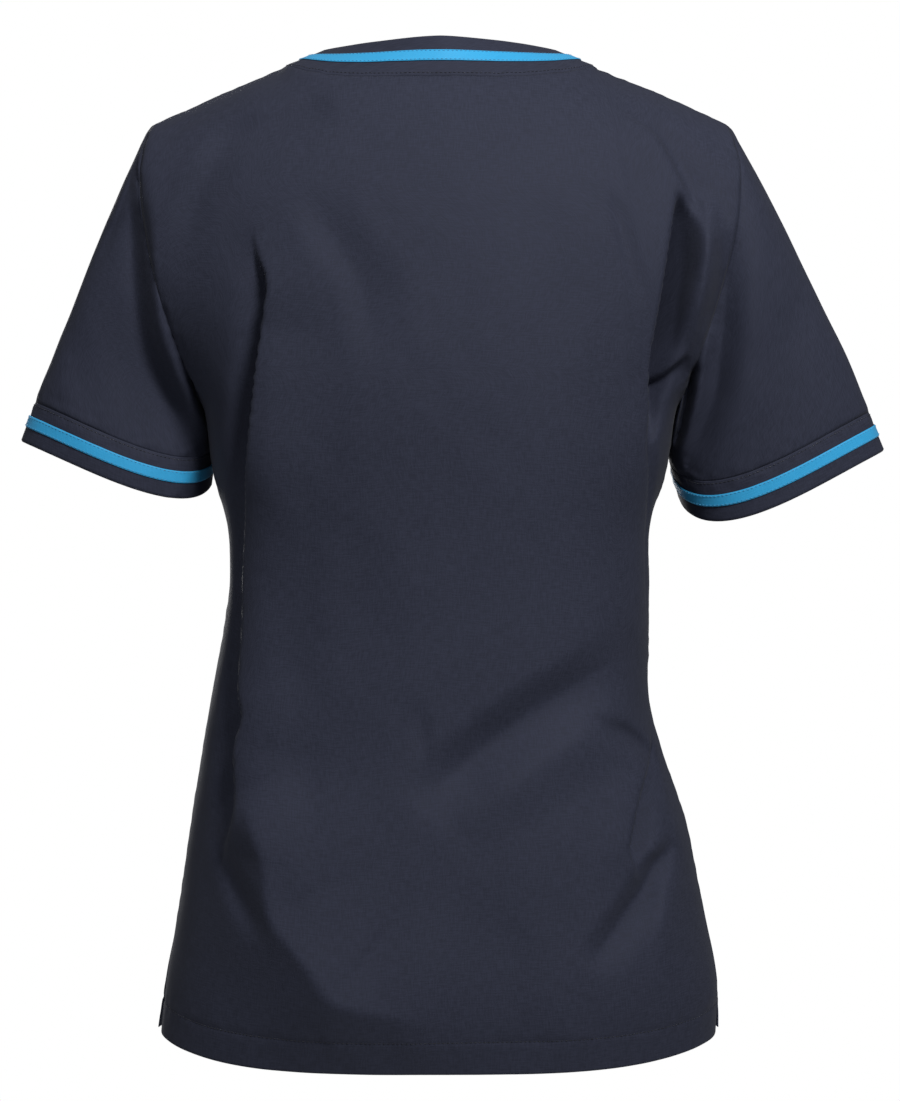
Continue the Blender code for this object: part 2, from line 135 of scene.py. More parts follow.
# Sleeves: the bottom edge's ends, half depth and way forward, in mm, and its drop and lean as shares
Sleeve = namedtuple(
    "Sleeve", "name side outer_x outer_z inner_x inner_z depth drop forward outer_lean inner_lean")
SLEEVES = (
    Sleeve("left", 1, 289.2, -257.5, 160.0, -289.0, 58, 0.26, 30, 0.36, 0.12),
    Sleeve("right", -1, 307.0, -263.5, 166.5, -297.5, 62, 0.38, 30, 0.385, 0.25),
)
EGG = 0.15
SQUARENESS = 0.7
OUTER_FORWARD = 0.4
DROP_EGG = 0.8
CUFF_WIDTH = 28 * MM
CUFF_TAPE = (0.36, 0.635)
CUFF_ROWS = (0, 0.03, 0.07, 0.13, 0.21, 0.3, 0.34, 0.36, 0.4, 0.5, 0.6, 0.635, 0.655, 0.72, 0.84, 0.94, 1)
HEAD_REACH = 10 * MM
HEAD_SPREAD = 30 * MM

# Creases are looked up from the eye's distance, straight behind or in front of the garment
EYE = np.array([-6.9, 2250, -334.3]) * MM

# Creases, in mm, by the piece that they are on and the side that they are seen from. A path is made of
# (x, z, strength), with x and z read in the plane through the origin. left and right are its sides as seen
# from outside where it runs downwards, pushed towards the eye over their reaches, or away below 0. turn is
# the width over which one changes to the other, and sharp runs from 0, round, to 1, pointed. Where lap is
# given, the two sides are also drawn that far across the path.
BEHIND, IN_FRONT = 1, -1
Crease = namedtuple("Crease", "left left_reach right right_reach turn sharp path lap", defaults=(0,))
LAP_REACH = 4.5
CREASES = {}
CREASES["back_panel", BEHIND] = (
    # Wearer's left: the edge where the flat middle turns to the side, and the hip
    Crease(-12, 28, 5, 50, 4, 0.7, (
        (131, -112, 0), (126, -132, 0.35), (119, -151, 1), (122, -177, 1), (127, -218, 0.9),
        (131, -266, 0.8), (134, -300, 0)), 3),
    Crease(-9, 34, 14, 65, 5, 0.1, (
        (122, -180, 0), (127, -218, 0.5), (131, -266, 0.9), (134, -317, 1), (136, -353, 1), (137, -393, 1),
        (139, -429, 1), (136, -449, 1), (141, -472, 1), (142, -511, 0.9), (148, -538, 0.3),
        (152, -560, 0)), 2.5),
    Crease(-3.5, 20, -3.5, 24, 2, 0.3, (
        (132, -30, 0), (146, -52, 0.7), (160, -76, 1), (172, -102, 0.8), (177, -133, 0.2))),
    Crease(-5, 26, -5, 20, 3, 0.1, (
        (172, -58, 0), (150, -50, 0.6), (118, -42, 1), (92, -32, 1), (72, -24, 0))),
    Crease(-1.6, 9, -1.6, 12, 1, 0.5, (
        (150, -26, 0), (163, -34, 0.9), (174, -39, 1), (189, -50, 0.6))),
    Crease(-4, 22, -4, 30, 2, 0.2, (
        (92, -84, 0), (81, -104, 0.7), (69, -124, 1), (52, -154, 1), (44, -206, 0.2))),
    Crease(-6, 15, -6, 15, 2, 0.3, (
        (158, -520, 0), (150, -545, 0.8), (142, -565, 1), (132, -584, 0.8), (120, -606, 0))),
    Crease(18, 66, 18, 90, 4, 0.9, (
        (136, -500, 0), (130, -524, 0.7), (122, -549, 1), (118, -585, 1), (104, -605, 1), (91, -623, 1),
        (73, -646, 0.9), (35, -656, 0.5), (0, -664, 0))),
    # Wearer's right: from the shoulder, along the armhole and side, and at the hip
    Crease(4, 34, -10, 36, 8, 0.5, (
        (-118, -26, 0), (-136, -38, 0.6), (-150, -48, 1), (-161, -66, 1), (-171, -87, 0.9),
        (-180, -104, 0.5), (-186, -119, 0))),
    Crease(-2.5, 8, -2.5, 12, 3, 0.1, (
        (-118, -86, 0), (-122, -100, 0.8), (-128, -122, 1), (-134, -146, 0.8), (-138, -168, 0))),
    Crease(-5.5, 22, 2.5, 14, 6, 0.5, (
        (-140, -219, 0), (-144, -217, 0.6), (-155, -212, 1), (-166, -204, 1), (-172, -199, 0)), 1.5),
    Crease(5, 42, -40, 28, 5, 0.6, (
        (-165, -86, 0), (-163, -94, 0.3), (-161, -104, 0.55), (-157, -125, 0.85), (-152, -154, 1),
        (-147, -185, 1), (-144, -203, 0.9), (-144, -228, 0.6), (-145, -260, 0)), 4),
    Crease(4, 40, -8, 18, 5, 0.3, (
        (-145, -215, 0), (-144, -240, 0.7), (-143, -265, 1), (-142, -317, 1), (-142, -368, 1),
        (-143, -420, 0.8), (-145, -450, 0)), 2),
    Crease(16, 17, 16, 15, 3, 0.2, (
        (-180, -84, 0), (-184, -104, 0.6), (-184, -124, 1), (-182, -146, 1), (-178, -166, 0.9),
        (-174, -188, 0.5), (-170, -210, 0))),
    Crease(-6.5, 18, -6.5, 10, 3, 0.5, (
        (-98, -448, 0), (-116, -455, 0.6), (-131, -461, 1), (-143, -472, 0.9), (-150, -480, 0))),
    Crease(5, 36, -15, 32, 4, 0.5, (
        (-146, -458, 0), (-145, -473, 0.7), (-138, -501, 1), (-132, -529, 1), (-131, -541, 0.9),
        (-134, -553, 0.4), (-138, -562, 0)), 2.5),
    Crease(-12, 15, -12, 26, 3, 0.5, (
        (-166, -534, 0), (-157, -542, 0.7), (-148, -553, 1), (-139, -570, 1), (-127, -588, 0.9),
        (-114, -607, 0.6), (-104, -624, 0))),
    Crease(3, 12, 3, 14, 3, 0.5, (
        (-160, -536, 0), (-152, -539, 1), (-143, -545, 1), (-134, -552, 0.6), (-128, -558, 0))),
    Crease(4, 16, 4, 28, 3, 0.4, (
        (-165, -512, 0), (-163, -526, 0.8), (-161, -547, 1), (-155, -570, 1), (-152, -598, 0.9),
        (-152, -622, 0.4), (-153, -640, 0))),
    Crease(-9, 24, -9, 34, 4, 0.3, (
        (-136, -396, 0), (-112, -416, 0.5), (-88, -432, 1), (-64, -447, 1), (-33, -469, 1), (-8, -490, 0.8),
        (14, -514, 0))),
    Crease(5, 26, 5, 34, 4, 0.1, (
        (-140, -440, 0), (-112, -458, 0.8), (-78, -476, 1), (-44, -500, 0.9), (-12, -528, 0))),
    Crease(-1.5, 9, -1.5, 10, 2, 0.2, (
        (16, -436, 0), (13, -455, 0.8), (11, -482, 1), (10, -512, 0.5), (10, -530, 0))),
    # Middle: broad soft waves
    Crease(-1.8, 30, -1.8, 30, 4, 0, (
        (-60, -80, 0), (-74, -120, 0.8), (-78, -180, 1), (-66, -240, 0))),
    Crease(-2.2, 34, -2.2, 40, 4, 0, (
        (84, -300, 0), (60, -345, 0.9), (52, -400, 1), (66, -470, 0))),
    Crease(-2.4, 36, -2.4, 30, 4, 0, (
        (-30, -560, 0), (-42, -600, 0.8), (-50, -640, 1), (-52, -672, 0.9))),
    Crease(2.4, 30, 2.4, 34, 4, 0, (
        (20, -580, 0), (14, -620, 0.8), (12, -672, 1))),
)
CREASES["sleeve_left", BEHIND] = (
    Crease(-25, 75, 0, 20, 20, 0.3, (
        (203, -50, 0), (207, -85, 0.5), (206, -112, 0.9), (203, -161, 1), (196, -195, 1), (181, -230, 0.8),
        (168, -256, 0.3), (160, -275, 0))),
    Crease(-1.8, 20, -1.8, 24, 3, 0, (
        (262, -120, 0), (256, -160, 0.9), (250, -210, 1), (242, -250, 0.4))),
)
CREASES["sleeve_right", BEHIND] = (
    Crease(-7, 14, -7, 20, 3, 0.3, (
        (-203, -110, 0), (-200, -140, 0.6), (-197, -168, 1), (-194, -200, 1), (-190, -228, 1),
        (-181, -252, 0.9), (-172, -270, 0.5))),
    Crease(4, 10, 4, 10, 3, 0, (
        (-181, -176, 0), (-178, -196, 1), (-176, -222, 1), (-171, -244, 0.8), (-166, -262, 0.3))),
    Crease(-16, 6, -16, 9, 3, 0.4, (
        (-173, -204, 0), (-172, -216, 0.7), (-171, -228, 1), (-168, -242, 1), (-164, -256, 0.8),
        (-159, -274, 0))),
    Crease(-1.6, 6, -1.6, 6, 1, 0.4, (
        (-195, -60, 0), (-198, -57, 1), (-201, -54.8, 1), (-204, -53, 0))),
    Crease(-1.5, 24, -1.5, 24, 3, 0, (
        (-256, -110, 0), (-250, -150, 0.8), (-240, -200, 1), (-236, -240, 0.5))),
)
CREASES["front_panel", IN_FRONT] = (
    # Drags from the bust to the armholes, sides and hips
    Crease(-6, 14, 4, 44, 7, 0.2, (
        (-128, -132, 0), (-124, -170, 0.7), (-120, -220, 1), (-124, -300, 1), (-128, -380, 1),
        (-134, -460, 0.9), (-142, -530, 0))),
    Crease(4, 44, -6, 14, 7, 0.2, (
        (126, -140, 0), (122, -180, 0.7), (120, -230, 1), (124, -310, 1), (128, -380, 1), (132, -450, 0.9),
        (140, -510, 0))),
    Crease(-3, 26, -3, 30, 4, 0, (
        (104, -118, 0), (86, -150, 0.8), (70, -190, 1), (62, -240, 0))),
    Crease(-3, 26, -3, 30, 4, 0, (
        (-100, -122, 0), (-84, -156, 0.8), (-66, -200, 1), (-60, -256, 0))),
    Crease(-3.5, 30, -3.5, 34, 4, 0, (
        (112, -400, 0), (84, -428, 0.8), (40, -452, 1), (-6, -468, 0.8), (-48, -486, 0))),
    Crease(-2.6, 24, -2.6, 30, 4, 0, (
        (-116, -380, 0), (-92, -420, 0.9), (-74, -470, 0.9), (-66, -530, 0))),
    Crease(-4.5, 18, -4.5, 16, 3, 0.2, (
        (150, -530, 0), (138, -560, 0.9), (120, -590, 1), (104, -620, 0))),
    Crease(-4.5, 18, -4.5, 16, 3, 0.2, (
        (-154, -520, 0), (-140, -552, 0.9), (-122, -584, 1), (-108, -618, 0))),
    Crease(2.2, 34, 2.2, 34, 4, 0, (
        (34, -560, 0), (30, -610, 0.8), (26, -672, 1))),
    Crease(-2.2, 34, -2.2, 34, 4, 0, (
        (-28, -540, 0), (-30, -600, 0.8), (-26, -672, 1))),
)
CREASES["sleeve_left", IN_FRONT] = (
    Crease(-6, 6, -6, 16, 3, 0.3, (
        (203, -70, 0), (202, -110, 0.6), (197, -150, 1), (188, -190, 1), (176, -226, 0.8), (166, -256, 0))),
    Crease(-2.2, 22, -2.2, 22, 3, 0, (
        (236, -100, 0), (232, -150, 0.9), (222, -200, 1), (214, -250, 0.4))),
)
CREASES["sleeve_right", IN_FRONT] = (
    Crease(-6, 16, -6, 6, 3, 0.3, (
        (-203, -70, 0), (-202, -110, 0.6), (-198, -150, 1), (-190, -190, 1), (-180, -226, 0.8),
        (-172, -256, 0))),
    Crease(-2.2, 22, -2.2, 22, 3, 0, (
        (-246, -110, 0), (-240, -160, 0.9), (-228, -210, 1), (-222, -250, 0.4))),
)

# Small forms: the well at each seam, its puckers, and the cloth's slight unevenness
SEAM_WELL = 0.55 * MM
SEAM_WIDE = 2.2 * MM
PUCKER_HIGH = 0.32 * MM
PUCKER_LONG = 11 * MM
PUCKER_REACH = 11 * MM
UNEVEN_HIGH = 0.55 * MM
UNEVEN_LONG = 95 * MM
RIPPLE_HIGH = 0.16 * MM
RIPPLE_LONG = 26 * MM
HEM_WELL = 0.4 * MM
HEM_WELL_WIDE = 1.3 * MM
HEM_PUCKER_REACH = 8 * MM
BAND_SOFT_REACH = 9 * MM
HEM_CURL = 12 * MM
HEM_CURL_REACH = 75 * MM

# Stitches
STITCH_PITCH = 3.0 * MM
STITCH_LONG = 2.3 * MM
STITCH_WIDE = 0.42 * MM
STITCH_HIGH = 0.24 * MM
STITCH_LIFT = 0.1 * MM
HEM_STITCH_ROW = HEM_ROWS.index(21.3)
SEAM_STITCH_ROW = 2
TAPE_STITCH_LIFT = 0.05 * MM
TAPE_STITCH_INSET = 0.7 * MM


def curve(knots, values, at):
    """Smooth curve through a table's points."""
    knots = np.asarray(knots, float)
    values = np.asarray(values, float)
    slopes = np.gradient(values, knots)
    at = np.clip(at, knots[0], knots[-1])
    low = np.clip(np.searchsorted(knots, at) - 1, 0, len(knots) - 2)
    step = knots[low + 1] - knots[low]
    part = (at - knots[low]) / step
    rest = 1 - part
    start = rest * rest * (1 + 2 * part) * values[low] + part * rest * rest * step * slopes[low]
    end = part * part * (3 - 2 * part) * values[low + 1] - part * part * rest * step * slopes[low + 1]
    return start + end


def ease(value):
    value = np.clip(value, 0, 1)
    return value * value * (3 - 2 * value)


def unit(vectors):
    return vectors / np.maximum(np.linalg.norm(vectors, axis=-1, keepdims=True), 1e-12)


# ---- The garment's smooth form ----

def section_size(name, level):
    levels = [row.level * MM for row in SECTIONS]
    sizes = [getattr(row, name) * MM for row in SECTIONS]
    return curve(levels, sizes, level)


def armhole_x(rise):
    return curve([row.rise for row in ARMHOLE], [row.x * MM for row in ARMHOLE], rise)


def even_across(half_width, depth, steps):
    """Shares of the half width, from 0 to 1, that lie evenly along a half section."""
    angle = np.linspace(0, np.pi / 2, 400)
    share = np.sin(angle) ** (2 / ROUNDNESS)
    reach = np.cos(angle) ** (2 / ROUNDNESS)
    run = np.hypot(np.diff(share * half_width), np.diff(reach * depth))
    run = np.concatenate([[0], np.cumsum(run)])
    return np.interp(np.linspace(0, run[-1], steps + 1), run, share)


def top_height(front, share):
    """Height of a panel's top edge at a share of the shoulder's half width."""
    part = np.clip((share - NECK_SHARE) / (1 - NECK_SHARE), 0, 1)
    shoulder = SHOULDER_TIP[2] * part + SHOULDER_CROWN * 4 * part * (1 - part)
    inside = np.clip(share / NECK_SHARE, 0, 1)
    drop, power = (FRONT_NECK_DROP, FRONT_NECK_POWER) if front else (BACK_NECK_DROP, BACK_NECK_POWER)
    return np.where(share < NECK_SHARE, -drop * (1 - inside ** power), shoulder)


def ridge_height(share):
    """Height of the shoulders' ridge, run on over the neck's opening."""
    inside = np.clip(share / NECK_SHARE, 0, 1)
    return np.where(share < NECK_SHARE, RIDGE_RISE * (1 - inside ** 2), top_height(False, share))


def yoke_point(front, share, rise):
    """Point of the smooth yoke at a share of its half width and of its column's height."""
    top = top_height(front, np.abs(share))
    height = rise * (top - UNDERARM) / (ridge_height(np.abs(share)) - UNDERARM)
    sign = -1 if front else 1
    turn = np.sin(np.arccos(np.clip(2 * height - 1, -1, 1)))
    hole = ARMHOLE_FRONT if front else ARMHOLE_BACK
    power = FRONT_FALL if front else BACK_FALL
    fall = np.maximum(1 - height ** power, 1e-9) ** (1 / FALL_TURN)
    middle = section_size("front" if front else "back", UNDERARM)
    hole_depth = hole * turn / fall
    flatness = 1 / ROUNDNESS + (1 - 1 / ROUNDNESS) * ease(height / YOKE_FLAT)
    trim = (1 - np.clip(hole_depth / middle, 0, 1) ** (1 / flatness)) ** (1 / ROUNDNESS)
    bow = np.clip(1 - (trim * np.abs(share)) ** ROUNDNESS, 0, 1) ** flatness
    wide = armhole_x(height) - (FRONT_SCOOP * turn if front else 0)
    ridge = SHOULDER_TIP[1]
    y = ridge * height + (sign * middle * bow - ridge * height) * fall
    z = UNDERARM + (top - UNDERARM) * rise
    return np.stack([share * wide, y, z], axis=-1)


def body_point(front, share, level):
    """Point of the smooth body at a signed share of its half width."""
    wide = np.where(share > 0, section_size("left", level), section_size("right", level))
    deep = section_size("front" if front else "back", level) * (-1 if front else 1)
    bow = np.clip(1 - np.abs(share) ** ROUNDNESS, 0, 1) ** (1 / ROUNDNESS)
    return np.stack([share * wide, deep * bow, level + 0 * share], axis=-1)


def panel_steps(front):
    return 2 * SHOULDER_STEPS + (FRONT_NECK_STEPS if front else BACK_NECK_STEPS)


def row_shares(front, level):
    """Shares across one body row, from the wearer's left side seam to the right one."""
    steps = panel_steps(front) // 2
    deep = section_size("front" if front else "back", level)
    left = even_across(section_size("left", level), deep, steps)
    right = even_across(section_size("right", level), deep, steps)
    return np.concatenate([left[::-1], -right[1:]])


def top_shares(front):
    """Shares along the top edge: steps on the back neckline close up towards the neck point."""
    part = np.linspace(0, 1, (FRONT_NECK_STEPS if front else BACK_NECK_STEPS) // 2 + 1)
    inside = NECK_SHARE * (part if front else np.sin(part * np.pi / 2))
    outside = np.linspace(NECK_SHARE, 1, SHOULDER_STEPS + 1)[1:]
    half = np.concatenate([inside, outside])
    return np.concatenate([half[::-1], -half[1:]])


def body_parts():
    """Heights of the body's rows, as shares of the way from the hem to the underarm, crowded at the hem."""
    height = UNDERARM - HEM_LEVEL
    low = np.array(HEM_ROWS) * MM / height
    steps = int(round((1 - low[-1]) * height / BODY_STEP))
    return np.concatenate([low, np.linspace(low[-1], 1, steps + 1)[1:-1]])


def smooth_panel(front):
    """Grid of a panel without folds: rows from the hem to the shoulders, columns from left to right."""
    rows = []
    for part in body_parts():
        shares = row_shares(front, HEM_LEVEL + (UNDERARM - HEM_LEVEL) * part)
        hem = HEM_LEVEL + HEM_SIDE_LIFT * np.abs(shares) ** HEM_CURVE
        rows.append(body_point(front, shares, hem + (UNDERARM - hem) * part))
    low = row_shares(front, UNDERARM)
    high = top_shares(front)
    for step in range(YOKE_ROWS + 1):
        part = step / YOKE_ROWS
        rise = part + YOKE_CROWDING * ((1 - np.cos(np.pi * part)) / 2 - part)
        shares = low + (high - low) * ease(rise * 1.15)
        rows.append(yoke_point(front, shares, rise))
    grid = np.array(rows)
    return grid[:, ::-1] if front else grid


def soften(grid):
    """Even out a panel away from its edges, so that the neck points leave no line down the cloth."""
    along, across = running_length(grid, 0), running_length(grid, 1)
    sides = np.minimum(across, across[:, -1:] - across)
    held = ease((along - SOFT_HEM) / SOFT_HEM_REACH)
    held = held * ease((along[-1] - along) / SOFT_REACH) * ease(sides / SOFT_REACH)
    held = held[1:-1, 1:-1, None]
    grid = grid.copy()
    for _ in range(SOFT_PASSES):
        around = (grid[:-2, 1:-1] + grid[2:, 1:-1] + grid[1:-1, :-2] + grid[1:-1, 2:]) / 4
        grid[1:-1, 1:-1] += held * (around - grid[1:-1, 1:-1])
    return grid


def open_vents(grid, front):
    """Part the panels' side edges below the vents' tops, the front one standing further out."""
    low = ease((VENT_TOP - grid[..., 2]) / (VENT_TOP - HEM_LEVEL))
    near = ease(1 - np.abs(grid[..., 1]) / VENT_REACH) * low
    moved = grid.copy()
    moved[..., 1] += (-1 if front else 1) * VENT_OPEN / 2 * near
    if front:
        moved[..., 0] += np.sign(grid[..., 0]) * VENT_FLARE * near
    return moved


def armhole_loop(back, front, side):
    """Armhole from the shoulder tip down the back and up the front."""
    first = len(body_parts())
    back_edge = back[first:, 0 if side > 0 else -1]
    front_edge = front[first:, -1 if side > 0 else 0]
    return np.concatenate([back_edge[::-1], front_edge[1:-1]])


def sleeve_frame(sleeve):
    """Cuff's bottom loop, and the way that the cloth runs down to it at each of its points."""
    back_turns = np.linspace(0, np.pi, YOKE_ROWS + 1)
    turn = np.concatenate([back_turns, 2 * np.pi - back_turns[-2:0:-1]])
    along = ((1 - np.cos(turn)) / 2)[:, None]
    outer = np.array([sleeve.outer_x, -sleeve.forward * OUTER_FORWARD, sleeve.outer_z]) * MM
    inner = np.array([sleeve.inner_x, -sleeve.forward, sleeve.inner_z]) * MM
    round_part = np.sign(np.sin(turn)) * np.abs(np.sin(turn)) ** SQUARENESS
    fat, low = round_part * (1 - EGG * np.cos(turn)), np.sin(turn) * (1 - DROP_EGG * np.cos(turn))
    fat, low = (part / np.abs(part).max() * sleeve.depth * MM for part in (fat, low))
    loop = outer + (inner - outer) * along + np.stack([0 * fat, fat, -sleeve.drop * low], axis=-1)
    lean = sleeve.outer_lean + (sleeve.inner_lean - sleeve.outer_lean) * along[:, 0]
    down = unit(np.stack([lean, -0.14 + 0 * lean, -np.sqrt(1 - lean ** 2)], axis=-1))
    mirror = np.array([sleeve.side, 1, 1])
    return loop * mirror, down * mirror, turn


def sleeve_grids(sleeve, hole):
    """Sleeve grid from the armhole down, and its cuff's grid below that."""
    bottom, down, turn = sleeve_frame(sleeve)
    top = bottom - down * CUFF_WIDTH
    mirror = np.array([sleeve.side, 1, 1])
    spread = np.abs(np.sin(turn))
    over = np.cos(turn)
    leave = np.stack([0.75 - 0.15 * over, 0.15 * np.sin(turn), -0.61 - 0.19 * over - 0.15 * spread], axis=-1)
    leave = unit(leave)
    under = ease((-over - 0.6) / 0.4)[:, None]
    leave = unit(leave * (1 - under) + np.array([-0.15, 0, -1]) * under)
    span = np.linalg.norm(top - hole, axis=-1)
    start_reach = np.minimum(HEAD_REACH + HEAD_SPREAD * spread, 0.4 * span)[:, None]
    end_reach = (0.35 * span)[:, None]
    first = hole + leave * mirror * start_reach
    second = top - down * end_reach
    rows = []
    for step in range(SLEEVE_ROWS + 1):
        part = step / SLEEVE_ROWS
        rest = 1 - part
        rows.append(rest ** 3 * hole + 3 * rest * rest * part * first + 3 * rest * part * part * second
                    + part ** 3 * top)
    cuff = [top + down * CUFF_WIDTH * share for share in CUFF_ROWS]
    return np.array(rows), np.array(cuff)


def band_edge(front, share):
    """Upper edge of the neckband at signed shares of its half width."""
    middle = BAND_FRONT if front else BAND_BACK
    turn = np.abs(share) ** (BAND_FRONT_TURN if front else BAND_BACK_TURN)
    climb = np.abs(share) ** (FRONT_NECK_POWER if front else BACK_NECK_POWER)
    ends = middle + (BAND_SIDE - middle) * np.stack([0 * turn, turn, climb], axis=-1)
    ends[..., 0] = share * BAND_SIDE[0]
    return ends


def band_grid(back, front):
    """Neckband grid from its seam up, round from the wearer's left over the back."""
    neck = slice(SHOULDER_STEPS, -SHOULDER_STEPS - 1)
    seam = np.concatenate([back[-1, neck], front[-1, neck]])
    behind = np.sin(np.linspace(1, -1, BACK_NECK_STEPS + 1)[:-1] * np.pi / 2)
    before = np.linspace(-1, 1, FRONT_NECK_STEPS + 1)[:-1]
    edge = np.concatenate([band_edge(False, behind), band_edge(True, before)])
    return np.array([seam + (edge - seam) * share for share in BAND_ROWS])


# ---- Normals and distances on the grids ----

def grid_normals(grid, ring):
    """Outward normals of a grid whose columns turn to the left as seen from its outside."""
    along = np.gradient(grid, axis=0)
    if ring:
        across = (np.roll(grid, -1, axis=1) - np.roll(grid, 1, axis=1)) / 2
    else:
        across = np.gradient(grid, axis=1)
    return unit(np.cross(across, along))


def share_normals(pieces):
    """Average the normals of points that lie together, so that sewn edges meet on one mitre."""
    points = np.concatenate([piece["grid"].reshape(-1, 3) for piece in pieces])
    normals = np.concatenate([piece["normals"].reshape(-1, 3) for piece in pieces])
    _, place = np.unique(np.round(points / TOGETHER).astype(int), axis=0, return_inverse=True)
    place = place.reshape(-1)
    total = np.zeros((place.max() + 1, 3))
    np.add.at(total, place, normals)
    normals = unit(total)[place]
    start = 0
    for piece in pieces:
        size = piece["grid"].shape[0] * piece["grid"].shape[1]
        piece["normals"] = normals[start:start + size].reshape(piece["grid"].shape)
        start += size


def running_length(grid, axis):
    """Length run along each row or column of a grid from its first point."""
    step = np.linalg.norm(np.diff(grid, axis=axis), axis=-1)
    shape = list(grid.shape[:2])
    shape[axis] = 1
    return np.concatenate([np.zeros(shape), np.cumsum(step, axis=axis)], axis=axis)


def seam_distance(piece):
    """Distance from each point of a piece to its nearest sewn edge."""
    grid = piece["grid"]
    along, across = running_length(grid, 0), running_length(grid, 1)
    far = np.full(grid.shape[:2], 1.0)
    if "bottom" in piece["sewn"]:
        far = np.minimum(far, along)
    if "top" in piece["sewn"]:
        far = np.minimum(far, along[-1] - along)
    if "sides" in piece["sewn"]:
        sides = np.minimum(across, across[:, -1:] - across)
        below = np.clip((VENT_TOP - grid[..., 2]) / VENT_FADE, 0, 1)
        far = np.minimum(far, sides + below * 0.05)
    return far


# ---- Creases ----

def seen_at(points, view):
    """Where points appear in the plane through the origin, from behind or from the front."""
    scale = EYE[1] / (EYE[1] - view * points[..., 1])
    x = EYE[0] + (points[..., 0] - EYE[0]) * scale
    z = EYE[2] + (points[..., 2] - EYE[2]) * scale
    return x, z


def crease_path(crease, view, carrier):
    """Crease's path on its smooth piece, with the normals and strengths along it."""
    points = carrier["grid"].reshape(-1, 3)
    normals = carrier["normals"].reshape(-1, 3)
    x, z = seen_at(points, view)
    hidden = normals[:, 1] * view < -0.05
    knots = []
    for to_x, to_z, strength in crease.path:
        away = np.hypot(x - to_x * MM, z - to_z * MM) + hidden
        near = np.argsort(away)[:4]
        weight = 1 / (away[near] + 0.2 * MM)
        weight = weight / weight.sum()
        knots.append([*(weight @ points[near]), *(weight @ normals[near]), strength])
    knots = np.array(knots)
    at = np.linspace(0, len(knots) - 1, 8 * len(knots))
    place = np.arange(len(knots))
    fine = np.stack([curve(place, knots[:, column], at) for column in range(7)], axis=-1)
    return fine[:, :3], unit(fine[:, 3:6]), np.clip(fine[:, 6], 0, None)


def fall_off(distance, reach, sharp):
    """Share of a crease left at a distance from its path."""
    near = np.clip(1 - distance / (reach * MM), 0, 1)
    return ease(near) * (1 - sharp) + near * near * sharp


def crease_move(points, normals, crease, view, path, path_normals, strengths):
    """How far one crease moves each point, from its distance to the path and the side that it is on."""
    reach = max(crease.left_reach, crease.right_reach) * MM
    low, high = path.min(axis=0) - reach, path.max(axis=0) + reach
    picked = np.flatnonzero(np.all((points > low) & (points < high), axis=-1))
    moved = np.zeros((len(points), 3))
    if len(picked) == 0:
        return moved
    here, outward = points[picked], normals[picked]
    best = np.full(len(picked), np.inf)
    side, strength, facing = np.ones(len(picked)), np.zeros(len(picked)), np.zeros(len(picked))
    aside = np.zeros((len(picked), 3))
    for index in range(len(path) - 1):
        line = path[index + 1] - path[index]
        if line @ line < 1e-14:
            continue
        part = np.clip(((here - path[index]) @ line) / (line @ line), 0, 1)
        away = here - (path[index] + part[:, None] * line)
        distance = np.linalg.norm(away, axis=-1)
        nearer = distance < best
        best = np.where(nearer, distance, best)
        rightwards = unit(np.cross(outward, line))
        side = np.where(nearer, np.sign(np.sum(rightwards * away, axis=-1)), side)
        aside[nearer] = rightwards[nearer]
        level = strengths[index] + (strengths[index + 1] - strengths[index]) * part
        strength = np.where(nearer, level, strength)
        facing = np.where(nearer, outward @ path_normals[index], facing)
    left = crease.left * fall_off(best, crease.left_reach, crease.sharp)
    right = crease.right * fall_off(best, crease.right_reach, crease.sharp)
    over = ease(0.5 + side * best / (crease.turn * MM))
    to_eye = np.array([0, view, 0])
    strength = strength * ease((facing + 0.1) / 0.5) * ease(outward @ to_eye / 0.5) * MM
    height = (left + (right - left) * over) * strength
    lap = crease.lap * (1 - 2 * over) * fall_off(best, abs(crease.lap) * LAP_REACH + 1, 0) * strength
    moved[picked] = to_eye * height[:, None] + aside * lap[:, None]
    return moved


def waves(points, length, seed):
    """Smooth uneven field between about -1 and 1, with waves of about the given length."""
    chance = np.random.default_rng(seed)
    total = np.zeros(points.shape[:-1])
    for _ in range(9):
        way = unit(chance.normal(size=3)) / (length * chance.uniform(0.7, 1.5))
        total = total + np.sin(points @ way * 2 * np.pi + chance.uniform(0, 2 * np.pi))
    return total / 3.4


